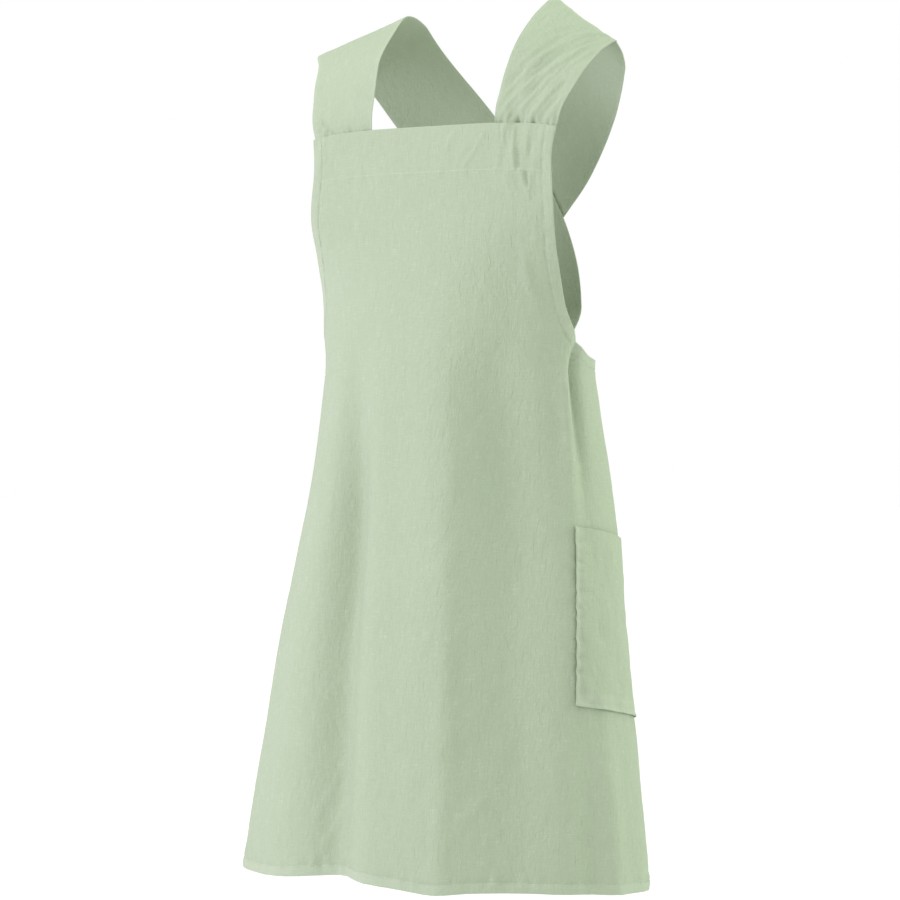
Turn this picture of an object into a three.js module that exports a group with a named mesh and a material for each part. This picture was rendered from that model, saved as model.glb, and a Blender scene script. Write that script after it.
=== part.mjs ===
// A cross back apron in linen: one large sheet that hangs from the bib and wraps both sides to an
// open back, two wide straps that cross on the back, a patch pocket and narrow folded hems.
// Millimetres. +Z is up, -Y is the front and +X is the wearer's left. The origin is midway between
// the two straps, level with the middle of each strap where it passes over the shoulder.
import * as THREE from 'three';

// Cloth: its wall, the gap between two layers, and the room that sheets with unlike facets need.
const clothWall = 1.2;
const layerGap = 0.3;
const facetRoom = 0.45;

// The large sheet: heights down from the shoulders, then half widths and depths of its round.
const shoulderToBib = 127;
const bodyLength = 872;
const armholeDepth = 273;
const bibHalfWidth = 165;
const torsoHalfWidth = 176;
const hemHalfWidth = 260;
const torsoHalfDepth = 119;
const hemHalfDepth = 156;
const bibReach = 109;
const hemReach = 241;
const bibCornerDrop = 8;
const hemBackDrop = 15;
const foldDepth = 10;

// Where the open back's edges lie, in degrees round from the front centre.
const backEdgeAngleTop = 174;
const backEdgeAngleHem = 160.7;

// The folded edges.
const facingDepth = 53;
const sideHemWidth = 11;
const bottomHemWidth = 11;

// The straps.
const strapWidth = 108;
const strapSpread = 153.5;
const shoulderTilt = 0.2;
const strapEndInBib = 34;
const strapEndInWing = 24;
const facingStandFar = 26;
const facingStandNear = 8;
const gatherDepth = 1.6;
const gatherCount = 3;

// The pocket: the angles of its front corners, then its size and how far its mouth stands open.
const pocketFrontAngleTop = 68.5;
const pocketFrontAngleBottom = 64.2;
const pocketDrop = 466;
const pocketHeight = 201;
const pocketWidth = 185;
const pocketTilt = 5.7;
const pocketBulge = 8;
const pocketRoom = 0.66;

// How finely each sheet is divided.
const frontColumns = 13;
const wingColumns = 12;
const facingRows = 2;
const armholeRows = 9;
const skirtRows = 24;
const strapRows = 30;
const strapColumns = 10;
const pocketCells = 10;

const linen = { color: '#b9cbab', roughness: 0.92, metalness: 0 };
const hemLevel = -shoulderToBib - bodyLength;
const layer = clothWall + layerGap;
const degree = Math.PI / 180;

// Level sections of the round, each an ellipse. level: share of the body's length below the bib.
// flare: how far its front has gone from the bib's reach to the hem's.
const sections = [
  { level: 0, halfWidth: 1.424 * bibHalfWidth, halfDepth: 0.06 * torsoHalfDepth, flare: 0 },
  { level: 0.05, halfWidth: 1.406 * bibHalfWidth, halfDepth: 0.09 * torsoHalfDepth, flare: 0.05 },
  { level: 0.116, halfWidth: 1.364 * bibHalfWidth, halfDepth: 0.3 * torsoHalfDepth, flare: 0.12 },
  { level: 0.17, halfWidth: 1.165 * torsoHalfWidth, halfDepth: 0.655 * torsoHalfDepth, flare: 0.18 },
  { level: 0.225, halfWidth: 1.075 * torsoHalfWidth, halfDepth: 0.89 * torsoHalfDepth, flare: 0.235 },
  { level: 0.28, halfWidth: 1.01 * torsoHalfWidth, halfDepth: 0.91 * torsoHalfDepth, flare: 0.31 },
  { level: 0.32, halfWidth: 0.98 * torsoHalfWidth, halfDepth: 0.925 * torsoHalfDepth, flare: 0.36 },
  { level: 0.36, halfWidth: torsoHalfWidth, halfDepth: 0.97 * torsoHalfDepth, flare: 0.395 },
  { level: 0.47, halfWidth: 0.731 * hemHalfWidth, halfDepth: 0.82 * hemHalfDepth, flare: 0.47 },
  { level: 0.58, halfWidth: 0.8 * hemHalfWidth, halfDepth: 0.85 * hemHalfDepth, flare: 0.568 },
  { level: 0.69, halfWidth: 0.862 * hemHalfWidth, halfDepth: 0.885 * hemHalfDepth, flare: 0.7 },
  { level: 0.8, halfWidth: 0.912 * hemHalfWidth, halfDepth: 0.93 * hemHalfDepth, flare: 0.81 },
  { level: 0.9, halfWidth: 0.958 * hemHalfWidth, halfDepth: 0.968 * hemHalfDepth, flare: 0.91 },
  { level: 1, halfWidth: hemHalfWidth, halfDepth: hemHalfDepth, flare: 1 },
];

// The sheet's side edge from the bib's corner down the armhole and round to the back corner.
// angle: degrees round from the front. drop: share of the armhole's depth below the bib's corner.
const sideEdge = [
  { angle: 44.3, drop: 0 },
  { angle: 43.5, drop: 0.13 },
  { angle: 45.3, drop: 0.28 },
  { angle: 47.8, drop: 0.4 },
  { angle: 54, drop: 0.58 },
  { angle: 61.5, drop: 0.755 },
  { angle: 68.5, drop: 0.842 },
  { angle: 77.5, drop: 0.925 },
  { angle: 88, drop: 0.98 },
  { angle: 100, drop: 1 },
  { angle: 116, drop: 1 },
  { angle: 142, drop: 0.975 },
  { angle: backEdgeAngleTop, drop: 0.94 },
];

// Folds that run down the sheet. top and hem: the angle of the fold's middle at those heights.
// from and full: the levels where it starts and is deepest. to: where it has faded. depth: share of
// the fold depth, outward if positive. width: degrees from its middle to where it eases off.
const folds = [
  { name: 'left ridge', top: 14, hem: 17, from: 0.05, full: 0.7, to: 3, depth: 0.6, width: 13 },
  { name: 'right trough', top: -35, hem: -20, from: 0.25, full: 0.75, to: 3, depth: -0.9, width: 9 },
  { name: 'right ridge', top: -14, hem: -4, from: 0.3, full: 0.9, to: 3, depth: 0.5, width: 8 },
  { name: 'left trough', top: 38, hem: 36, from: 0.35, full: 0.75, to: 3, depth: -0.8, width: 10 },
  { name: 'hem swell', top: 52, hem: 51, from: 0.5, full: 0.95, to: 3, depth: 0.7, width: 7 },
  { name: 'hem dip', top: 66, hem: 64, from: 0.72, full: 1, to: 3, depth: -0.5, width: 6 },
  { name: 'hem band', top: 74, hem: 76, from: 0.72, full: 1, to: 3, depth: 0.4, width: 6 },
  { name: 'side trough', top: 78, hem: 64, from: 0.22, full: 0.34, to: 0.56, depth: -0.8, width: 4 },
  { name: 'side ridge', top: 70, hem: 58, from: 0.24, full: 0.38, to: 0.62, depth: 0.5, width: 5 },
  { name: 'bib pleat', top: 29, hem: 29, from: -0.05, full: 0, to: 0.07, depth: -0.22, width: 2.6 },
  { name: 'back swell', top: 140, hem: 138, from: 0.4, full: 0.9, to: 3, depth: 0.8, width: 14 },
  { name: 'back swell', top: -140, hem: -138, from: 0.4, full: 0.9, to: 3, depth: 0.8, width: 14 },
];

// The left strap's stations from its end inside the bib, over the shoulder, to its end inside the
// right wing. x is a share of the strap's spread, z of the height from the shoulder to the bib on
// the front and to the wing on the back, reach of the bib's reach. lean and yaw turn its width.
const wingTop = -shoulderToBib - 0.95 * armholeDepth;
const onFront = (share) => share * shoulderToBib;
const onBack = (share) => share * wingTop;
const strapStations = [
  { x: 0.81, z: -shoulderToBib - strapEndInBib, reach: 1, front: 1, width: 0.72, lean: 0, yaw: 0 },
  { x: 0.815, z: onFront(-1.03), reach: 0.985, front: 1, width: 0.745, lean: 5, yaw: 0 },
  { x: 0.866, z: onFront(-0.63), reach: 0.817, front: 1, width: 0.86, lean: 0, yaw: 7.4 },
  { x: 0.928, z: onFront(-0.275), reach: 0.528, front: 1, width: 0.968, lean: 4, yaw: 15 },
  { x: 0.99, z: onFront(-0.01), reach: 0.15, front: 1, width: 1.06, lean: 26, yaw: -9 },
  { x: 0.89, z: onBack(0.055), reach: 0, front: 0, width: 1.02, lean: 37, yaw: 0 },
  { x: 0.72, z: onBack(0.19), reach: 0, front: 0, width: 0.98, lean: 42, yaw: 0 },
  { x: 0.4, z: onBack(0.37), reach: 0, front: 0, width: 0.96, lean: 38, yaw: 0 },
  { x: 0.02, z: onBack(0.55), reach: 0, front: 0, width: 0.94, lean: 32, yaw: 0 },
  { x: -0.26, z: onBack(0.77), reach: 0, front: 0, width: 0.92, lean: 20, yaw: 0 },
  { x: -0.39, z: onBack(0.98), reach: 0, front: 0, width: 0.86, lean: 6, yaw: 0 },
  { x: -0.4, z: wingTop - strapEndInWing, reach: 0, front: 0, width: 0.84, lean: 3, yaw: 0 },
].map((row, step) => ({ ...row, step }));

// The middle of the back that the straps lie along. drop: share of the height down to the wing.
const backRound = 300;
const backLine = [
  { drop: -0.1, behind: 0.33 },
  { drop: 0, behind: 0.5 },
  { drop: 0.1, behind: 0.74 },
  { drop: 0.2, behind: 0.89 },
  { drop: 0.37, behind: 0.99 },
  { drop: 0.55, behind: 1 },
  { drop: 0.78, behind: 0.92 },
  { drop: 1, behind: 0.77 },
].map((row) => ({ drop: row.drop, behind: row.behind * bibReach }));

const mix = (a, b, share) => a + (b - a) * share;
const clamp = (value, low, high) => Math.min(Math.max(value, low), high);

// Goes smoothly from 0 to 1 as x goes from one place to the other.
function ease(x, from, to) {
  const share = clamp((x - from) / (to - from), 0, 1);
  return share * share * (3 - 2 * share);
}

// A smooth curve through one column of a table, as a function of its place column.
function through(rows, place, column) {
  const slope = (k) => {
    const before = rows[Math.max(k - 1, 0)];
    const after = rows[Math.min(k + 1, rows.length - 1)];
    return (after[column] - before[column]) / (after[place] - before[place]);
  };
  return (x) => {
    let k = 0;
    while (k < rows.length - 2 && x > rows[k + 1][place]) k += 1;
    const [a, b] = [rows[k], rows[k + 1]];
    const span = b[place] - a[place];
    const s = clamp((x - a[place]) / span, 0, 1);
    const rise = slope(k) * s * (1 - s) ** 2 - slope(k + 1) * s * s * (1 - s);
    return mix(a[column], b[column], s * s * (3 - 2 * s)) + span * rise;
  };
}

// The round of the sheet.
const halfWidthAt = through(sections, 'level', 'halfWidth');
const halfDepthAt = through(sections, 'level', 'halfDepth');
const flareAt = through(sections, 'level', 'flare');
const levelOf = (z) => (-shoulderToBib - z) / bodyLength;

// How far the folds move the sheet outward at an angle and a level.
function foldAt(angle, level) {
  let depth = 0;
  for (const fold of folds) {
    const middle = mix(fold.top, fold.hem, clamp(level, 0, 1));
    const away = (angle / degree - middle) / fold.width;
    const fade = ease(level, fold.from, fold.full) * (1 - ease(level, fold.full, fold.to));
    depth += foldDepth * fold.depth * fade * Math.exp(-away * away);
  }
  return depth;
}

// The middle of the sheet's wall at an angle round from the front centre and a height.
function sheetPoint(angle, z) {
  const level = levelOf(z);
  const halfWidth = halfWidthAt(level);
  const halfDepth = halfDepthAt(level);
  const centre = halfDepth - mix(bibReach, hemReach, flareAt(level));
  const out = new THREE.Vector2(halfDepth * Math.sin(angle), -halfWidth * Math.cos(angle)).normalize();
  const fold = foldAt(angle, level);
  const x = halfWidth * Math.sin(angle) + fold * out.x;
  const y = centre - halfDepth * Math.cos(angle) + fold * out.y;
  return new THREE.Vector3(x, y, z);
}

// The outward direction of the sheet there.
function sheetNormal(angle, z) {
  const turn = 0.1 * degree;
  const rise = 0.5;
  const across = sheetPoint(angle + turn, z).sub(sheetPoint(angle - turn, z));
  const down = sheetPoint(angle, z - rise).sub(sheetPoint(angle, z + rise));
  return down.cross(across).normalize();
}

// The angle that lies a length along the sheet from another angle at the same height.
function walk(angle, z, length) {
  const steps = 12;
  const turn = 0.5 * degree;
  let at = angle;
  for (let k = 0; k < steps; k += 1) {
    const perTurn = sheetPoint(at + turn, z).distanceTo(sheetPoint(at, z)) / turn;
    at += length / steps / perTurn;
  }
  return at;
}

// A corner of a sheet's grid, at an angle and a height on the round, with its place and direction.
const sheetCorner = (angle, z) => (
  { angle, z, point: sheetPoint(angle, z), normal: sheetNormal(angle, z) }
);

// The corner that lies a length from one corner towards another.
function between(a, b, length) {
  const share = length / a.point.distanceTo(b.point);
  return {
    point: a.point.clone().lerp(b.point, share),
    normal: a.normal.clone().lerp(b.normal, share).normalize(),
  };
}

// The closed solid of a cloth sheet. Each cell is four corners, anticlockwise from outside. inset
// says how far inward of the large sheet the middle of this one lies at a corner.
function clothSolid(cells, inset) {
  const numbers = new Map();
  const positions = [];
  const faces = [];
  const border = new Map();
  const number = (corner) => {
    if (!numbers.has(corner)) {
      numbers.set(corner, numbers.size);
      const middle = corner.point.clone().addScaledVector(corner.normal, -inset(corner));
      for (const side of [clothWall / 2, -clothWall / 2]) {
        positions.push(...middle.clone().addScaledVector(corner.normal, side).toArray());
      }
    }
    return numbers.get(corner);
  };
  for (const cell of cells) {
    const ring = cell.map(number);
    const [a, b, c, d] = ring.map((k) => 2 * k);
    faces.push(a, b, c, a, c, d);
    faces.push(a + 1, c + 1, b + 1, a + 1, d + 1, c + 1);
    ring.forEach((from, k) => {
      const to = ring[(k + 1) % 4];
      if (!border.delete(`${to},${from}`)) border.set(`${from},${to}`, [2 * from, 2 * to]);
    });
  }
  for (const [from, to] of border.values()) {
    faces.push(to, from, from + 1, to, from + 1, to + 1);
  }
  const geometry = new THREE.BufferGeometry();
  geometry.setAttribute('position', new THREE.Float32BufferAttribute(positions, 3));
  geometry.setIndex(faces);
  geometry.computeVertexNormals();
  return geometry;
}

// The cells between two neighbouring lines of corners. The first line is the upper one, and both
// run towards the wearer's left.
function cellsBetween(upper, lower) {
  return upper.slice(1).map((corner, k) => [upper[k], lower[k], lower[k + 1], corner]);
}

// The cells of a whole grid, given as its lines from the top down.
const cellsOf = (lines) => lines.slice(1).flatMap((line, k) => cellsBetween(lines[k], line));

// The sheet's side edge on one side (1 is the wearer's left), as corners from the bib's corner down
// the armhole and round to the back corner, with the line that its hem reaches to beside them.
function sideEdgeCorners(side) {
  const bibCorner = -shoulderToBib - bibCornerDrop;
  const rows = sideEdge.map((row) => ({
    angle: row.angle * degree,
    z: bibCorner - row.drop * (armholeDepth - bibCornerDrop),
  }));
  let length = 0;
  rows.forEach((row, k) => {
    if (k > 0) length += sheetPoint(row.angle, row.z).distanceTo(sheetPoint(rows[k - 1].angle, rows[k - 1].z));
    row.along = length;
  });
  const angleAt = through(rows, 'along', 'angle');
  const heightAt = through(rows, 'along', 'z');
  const turnRow = rows[7].along;
  const places = [];
  for (let k = 0; k <= facingRows; k += 1) places.push((facingDepth * k) / facingRows);
  for (let k = 1; k <= armholeRows; k += 1) places.push(mix(facingDepth, turnRow, k / armholeRows));
  for (let k = 1; k < wingColumns; k += 1) {
    places.push(mix(turnRow, length - sideHemWidth, k / (wingColumns - 1)));
  }
  places.push(length);
  const edge = places.map((place) => [angleAt(place), heightAt(place)]);
  const inner = edge.map(([angle, z], k) => {
    if (k === 0) return [walk(angle, z, -sideHemWidth), z];
    if (k === edge.length - 1) return [angle, z - sideHemWidth];
    const step = 0.5;
    const before = sheetPoint(angleAt(places[k] - step), heightAt(places[k] - step));
    const after = sheetPoint(angleAt(places[k] + step), heightAt(places[k] + step));
    const along = after.sub(before).normalize();
    const normal = sheetNormal(angle, z);
    const inward = along.clone().cross(normal).normalize();
    const round = sheetPoint(angle + degree, z).sub(sheetPoint(angle - degree, z)).normalize();
    return [walk(angle, z, inward.dot(round) * sideHemWidth), z + inward.z * sideHemWidth];
  });
  const place = ([angle, z]) => sheetCorner(side * angle, z);
  return { edge: edge.map(place), inner: inner.map(place), innerPlaces: inner };
}

const edges = { left: sideEdgeCorners(1), right: sideEdgeCorners(-1) };
const turnIndex = facingRows + armholeRows;
const hemHeight = (angle) => hemLevel - (hemBackDrop * (1 - Math.cos(angle))) / 2;

// The rows of the bib, from its top edge down to where the armhole turns level. Each row runs from
// the right hem's inner line to the left hem's.
function bibLines() {
  const lines = [];
  for (let i = 0; i <= turnIndex; i += 1) {
    const [sideAngle, sideZ] = edges.left.innerPlaces[i];
    const line = [];
    for (let j = -frontColumns; j <= frontColumns; j += 1) {
      const share = j / frontColumns;
      const rise = bibCornerDrop * (1 - share ** 4) * (1 - i / turnIndex);
      if (j === -frontColumns) line.push(edges.right.inner[i]);
      else if (j === frontColumns) line.push(edges.left.inner[i]);
      else line.push(sheetCorner(share * sideAngle, sideZ + rise));
    }
    lines.push(line);
  }
  return lines;
}

// The rows of the skirt, from the level where the armhole turns down to the hem. The first row
// shares its corners with the bib's last row and with the inner lines of both wings.
function skirtLines(firstLine) {
  const hemAngleAt = (j) => {
    const side = Math.sign(j);
    const n = Math.abs(j);
    const turnAngle = edges.left.innerPlaces[turnIndex][0];
    const backAngle = backEdgeAngleHem * degree;
    if (n <= frontColumns) return (j / frontColumns) * turnAngle;
    const lastInner = walk(backAngle, hemLevel, -sideHemWidth);
    if (n === frontColumns + wingColumns) return side * backAngle;
    return side * mix(turnAngle, lastInner, (n - frontColumns) / (wingColumns - 1));
  };
  const columns = firstLine.map((corner, k) => ({ corner, hemAngle: hemAngleAt(k - frontColumns - wingColumns) }));
  const lines = [firstLine];
  for (let i = 1; i <= skirtRows; i += 1) {
    const share = i / (skirtRows - 1);
    lines.push(columns.map(({ corner, hemAngle }) => {
      const hem = hemHeight(hemAngle);
      if (i === skirtRows) return sheetCorner(hemAngle, hem);
      const z = mix(corner.z, hem + bottomHemWidth, share);
      return sheetCorner(mix(corner.angle, hemAngle, share), z);
    }));
  }
  return lines;
}

const bib = bibLines();
const rightWing = edges.right.inner.slice(turnIndex + 1).reverse();
const leftWing = edges.left.inner.slice(turnIndex + 1);
const skirt = skirtLines([...rightWing, ...bib[turnIndex], ...leftWing]);

// The strip between a side edge and its inner line, from the given place on.
function hemStrip(side, first) {
  const { edge, inner } = edges[side];
  const outer = edge.slice(first);
  const innerLine = inner.slice(first);
  if (side === 'left') return cellsBetween(outer, innerLine);
  return cellsBetween(outer.reverse(), innerLine.reverse());
}

const bodyCells = [...cellsOf(bib), ...cellsOf(skirt), ...hemStrip('left', 0), ...hemStrip('right', 0)];

// The facing lies on the inside of the bib. Where a strap's end is between them, it stands off.
const strapInner = strapSpread * strapStations[1].x - (strapWidth * strapStations[1].width) / 2;
function facingInset(corner) {
  const room = layer + 2 * facetRoom;
  const away = strapInner - Math.abs(corner.point.x);
  return layer + room * ease(away, facingStandFar, facingStandNear);
}
const facingCells = [
  ...cellsOf(bib.slice(0, facingRows + 1)),
  ...hemStrip('left', 0).slice(0, facingRows),
  ...hemStrip('right', 0).slice(-facingRows),
];

// The hem of one armhole, from below the facing round to the back corner.
function armholeHemCells(side) {
  const { edge, inner } = edges[side];
  const start = (line) => between(line[facingRows], line[facingRows + 1], layerGap);
  const outer = [start(edge), ...edge.slice(facingRows + 1)];
  const innerLine = [start(inner), ...inner.slice(facingRows + 1)];
  if (side === 'left') return cellsBetween(outer, innerLine);
  return cellsBetween(outer.reverse(), innerLine.reverse());
}

// The hem down one open edge of the back, between the armhole's hem and the bottom hem.
function backHemCells(side) {
  const pick = (line) => (side === 'left' ? line.slice(-2) : line.slice(0, 2));
  const rows = skirt.slice(0, skirtRows).map(pick);
  const first = rows[0].map((corner, k) => between(corner, rows[1][k], layerGap));
  const last = rows.at(-1).map((corner, k) => between(corner, rows.at(-2)[k], layerGap));
  return cellsOf([first, ...rows.slice(1, -1), last]);
}

// How far back the large sheet lies at x and z, on its back or its front, less an inset inward.
function besideSheet(x, z, behind, inset) {
  const lean = Math.asin(clamp(x / halfWidthAt(levelOf(z)), -1, 1));
  const angle = behind ? Math.PI - lean : lean;
  return sheetPoint(angle, z).y - inset / sheetNormal(angle, z).y;
}

// The straps.
const stationAt = Object.fromEntries(
  ['x', 'z', 'reach', 'front', 'width', 'lean', 'yaw'].map((key) => [key, through(strapStations, 'step', key)]),
);
const behindAt = through(backLine, 'drop', 'behind');
const lastStation = strapStations.length - 1;

// The middle of a strap's wall. along goes from 0 at the bib to 1 at the wing, and across from -1
// at the neck's edge to 1 at the shoulder's.
function strapPoint(side, along, across) {
  const step = along * lastStation;
  const reach = across * stationAt.width(step) * strapWidth * 0.5;
  const lean = stationAt.lean(step) * (1 + side * shoulderTilt * ease(step, 5, 4)) * degree;
  const yaw = stationAt.yaw(step) * degree;
  const x = stationAt.x(step) * strapSpread + reach * Math.cos(lean) * Math.cos(yaw);
  const z = stationAt.z(step) - reach * Math.sin(lean);
  const gather = gatherDepth * Math.cos(Math.PI * 2 * gatherCount * across * 0.5) * (1 - across ** 4);
  const front = -stationAt.reach(step) * bibReach + reach * Math.sin(yaw)
    + gather * ease(step, 0.9, 1.3) * (1 - ease(step, 1.6, 3));
  const back = behindAt(z / wingTop) - (x * x) / (2 * backRound)
    + side * (layer / 2 + facetRoom) * ease(step, 5, 7) * (1 - ease(step, 9.5, 10));
  const weight = clamp(stationAt.front(step), 0, 1);
  let y = mix(back, front, weight);
  const inBib = 1 - ease(step, 1, 1.9);
  if (inBib > 0) y = mix(y, besideSheet(side * x, z, false, layer + facetRoom), inBib);
  const inWing = ease(step, 9.5, 9.95);
  if (inWing > 0) y = mix(y, besideSheet(side * x, z, true, 2 * layer + facetRoom), inWing);
  return new THREE.Vector3(side * x, y, z);
}

function strapCells(side) {
  const lines = [];
  const small = 0.002;
  for (let i = 0; i <= strapRows; i += 1) {
    const line = [];
    for (let j = 0; j <= strapColumns; j += 1) {
      const along = i / strapRows;
      const across = (2 * j) / strapColumns - 1;
      const width = strapPoint(side, along, across + small).sub(strapPoint(side, along, across - small));
      const length = strapPoint(side, Math.min(along + small, 1), across)
        .sub(strapPoint(side, Math.max(along - small, 0), across));
      const normal = width.cross(length).normalize().multiplyScalar(side);
      line.push({ point: strapPoint(side, along, across), normal });
    }
    lines.push(side > 0 ? line : line.reverse());
  }
  return cellsOf(lines.reverse());
}

// The pocket, on the outside of the sheet. Its mouth is its upper edge.
function pocketCellList() {
  const lines = [];
  const topZ = -shoulderToBib - pocketDrop;
  for (let i = 0; i <= pocketCells; i += 1) {
    const down = i / pocketCells;
    const z = topZ - pocketHeight * down;
    const frontAngle = mix(pocketFrontAngleTop, pocketFrontAngleBottom, down) * degree;
    const line = [];
    for (let j = 0; j <= pocketCells; j += 1) {
      const across = j / pocketCells;
      const dip = pocketWidth * across * Math.tan(pocketTilt * degree);
      const corner = sheetCorner(walk(frontAngle, z, pocketWidth * across), z - dip);
      const belly = Math.sin(Math.PI * across) * (1 - across);
      corner.bulge = (pocketBulge * belly * (1 - down ** 2)) / 0.567;
      line.push(corner);
    }
    lines.push(line);
  }
  return cellsOf(lines);
}

// Builds one cloth piece. inset is how far inward of the large sheet it lies.
function piece(name, cells, inset) {
  const mesh = new THREE.Mesh(clothSolid(cells, inset), new THREE.MeshStandardMaterial(linen));
  mesh.name = name;
  return mesh;
}

const group = new THREE.Group();
group.add(piece('apron_body', bodyCells, () => 0));
group.add(piece('bib_facing', facingCells, facingInset));
group.add(piece('strap_left', strapCells(1), () => 0));
group.add(piece('strap_right', strapCells(-1), () => 0));
group.add(piece('pocket', pocketCellList(), (corner) => -layer - pocketRoom - corner.bulge));
group.add(piece('bottom_hem', cellsBetween(skirt.at(-2), skirt.at(-1)), () => layer));
for (const side of ['left', 'right']) {
  group.add(piece(`armhole_hem_${side}`, armholeHemCells(side), () => layer));
  group.add(piece(`back_hem_${side}`, backHemCells(side), () => layer));
}

export default group;
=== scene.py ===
# %% [markdown]
# # A cross back apron in linen
# One large sheet hangs from the bib and wraps both sides to an open back. Two wide straps run over
# the shoulders and cross on the back, a patch pocket sits at the wearer's left side, and every edge
# is a narrow folded hem. Each piece of cloth is worked out with numpy as a surface of two
# parameters, and gets its wall, its rounded edges and its linen afterwards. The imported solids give
# the frame, so the first cell loads them.

# %% Load the frame
import bpy
import numpy as np
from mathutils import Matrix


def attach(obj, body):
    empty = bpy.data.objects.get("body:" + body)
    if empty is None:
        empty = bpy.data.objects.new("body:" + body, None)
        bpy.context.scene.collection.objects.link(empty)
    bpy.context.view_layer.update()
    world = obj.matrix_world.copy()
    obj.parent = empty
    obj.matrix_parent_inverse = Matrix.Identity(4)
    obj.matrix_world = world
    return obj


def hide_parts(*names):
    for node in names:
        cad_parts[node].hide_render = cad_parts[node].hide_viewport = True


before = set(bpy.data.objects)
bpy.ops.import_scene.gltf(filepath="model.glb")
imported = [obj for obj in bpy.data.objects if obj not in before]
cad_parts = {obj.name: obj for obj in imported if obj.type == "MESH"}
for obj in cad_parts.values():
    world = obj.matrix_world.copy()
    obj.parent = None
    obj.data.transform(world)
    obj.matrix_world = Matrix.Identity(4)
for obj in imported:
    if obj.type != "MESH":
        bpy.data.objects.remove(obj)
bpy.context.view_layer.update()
print("solids:", ", ".join(sorted(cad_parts)))

# %% [markdown]
# ## Sizes
# The driving sizes are the solids' own, here in metres. The large sheet is described in a pattern
# space: an angle round from the front centre, positive towards the wearer's left, and a height z.

# %% Sizes
MM = 0.001
DEGREE = np.pi / 180
BIB_TOP = -127 * MM
BODY_LENGTH = 872 * MM
ARMHOLE_DEPTH = 273 * MM
BIB_HALF_WIDTH = 165 * MM
TORSO_HALF_WIDTH, TORSO_HALF_DEPTH = 176 * MM, 119 * MM
HEM_HALF_WIDTH, HEM_HALF_DEPTH = 260 * MM, 156 * MM
BIB_REACH, HEM_REACH = 109 * MM, 241 * MM
CORNER_DROP = 8 * MM
HEM_BACK_DROP = 15 * MM
FOLD_DEPTH = 10 * MM
BACK_ANGLE_TOP, BACK_ANGLE_HEM = 174 * DEGREE, 160.7 * DEGREE
FACING_DEPTH, FACING_ARCH = 53 * MM, CORNER_DROP * 0.82
HEM_WIDTH = 11 * MM
LAYER = 1.5 * MM
WALL = 0.9 * MM
HEM_LEVEL = BIB_TOP - BODY_LENGTH
print("bib top to hem:", BODY_LENGTH, "m")

# %% [markdown]
# ## Curves and random fields
# Everything is shaped by an ease from 0 to 1, smooth curves through the points of tables, and random
# fields that are sums of plane waves. On the large sheet a field is a function of the place in
# space, so its facing and hems, which lie close inside it, crumple together with it.

# %% Ease, mix and smooth curves
def ease(x, start, end):
    """Goes smoothly from 0 at start to 1 at end: three times the square of the share of the way,
    less twice its cube."""
    share = np.clip((x - start) / (end - start), 0, 1)
    return share * share * (3 - 2 * share)


def mix(a, b, share):
    """The value that lies a share of the way from a to b."""
    return a + (b - a) * share


def bell(x, width):
    """A bell curve: the exponential of less the square of x over width."""
    return np.exp(-((x / width) ** 2))


def smooth_curve(places, values):
    """A curve through the points of a table: on each span the cubic that meets both ends with the
    slope of the chord between their neighbours."""
    places, values = np.array(places, float), np.array(values, float)
    order = np.arange(len(places))
    before, after = np.maximum(order - 1, 0), np.minimum(order + 1, len(places) - 1)
    slope = (values[after] - values[before]) / (places[after] - places[before])

    def at(x):
        k = np.clip(np.searchsorted(places, x, side="left") - 1, 0, len(places) - 2)
        span = places[k + 1] - places[k]
        s = np.clip((x - places[k]) / span, 0, 1)
        rise = slope[k] * s * (1 - s) ** 2 - slope[k + 1] * s * s * (1 - s)
        return mix(values[k], values[k + 1], s * s * (3 - 2 * s)) + span * rise

    return at


def unit(vectors):
    """The same directions with a length of 1."""
    return vectors / np.maximum(np.linalg.norm(vectors, axis=-1, keepdims=True), 1e-12)


# %% Random fields
def waves(points, size, count, seed, stretch=(1, 1, 1)):
    """A smooth random field with a spread of 1: the sum of count plane waves of random direction
    and phase, with wavelengths of 0.7 to 1.45 times size, each divided by the root of half their
    number. stretch lengthens the waves along x, y and z."""
    draw = np.random.default_rng(seed)
    direction = unit(draw.normal(size=(count, 3)))
    number = 2 * np.pi / (size * draw.uniform(0.7, 1.45, count))
    phase = draw.uniform(0, 2 * np.pi, count)
    scaled = points / np.array(stretch)
    total = np.zeros(points.shape[:-1])
    for k in range(count):
        total += np.cos(scaled @ (direction[k] * number[k]) + phase[k])
    return total * np.sqrt(2 / count)


def crease_net(points, size, seed, sharp=0.2):
    """Creases: ridges along the lines where a random field is zero, a bell curve of its value over
    sharp, broken up into patches by a second and broader field."""
    patches = ease(waves(points, 2.1 * size, 14, seed + 1), -0.1, 1.1)
    return bell(waves(points, size, 20, seed), sharp) * patches


def straight_creases(points, starts, ends, heights, widths):
    """Straight creases: a bell curve of the distance to each line, over its width, times its
    height, fading towards both of the line's ends."""
    total = np.zeros(points.shape[:-1])
    for start, end, height, width in zip(starts, ends, heights, widths):
        run = end - start
        share = ((points - start) @ run) / (run @ run)
        foot = start + np.clip(share, 0, 1)[..., None] * run
        away = np.linalg.norm(points - foot, axis=-1)
        fade = ease(share, -0.15, 0.2) * (1 - ease(share, 0.8, 1.15))
        total += height * fade * bell(away, width)
    return total


# %% [markdown]
# ## The large sheet
# Worn, the sheet is nearly flat over the chest and a deep ellipse lower down. A table of sections
# gives each height its ellipse. Long soft folds are bell curves of the angle, which grow towards
# the hem. They move the cloth along the level outward direction, as in the solids.

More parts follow.
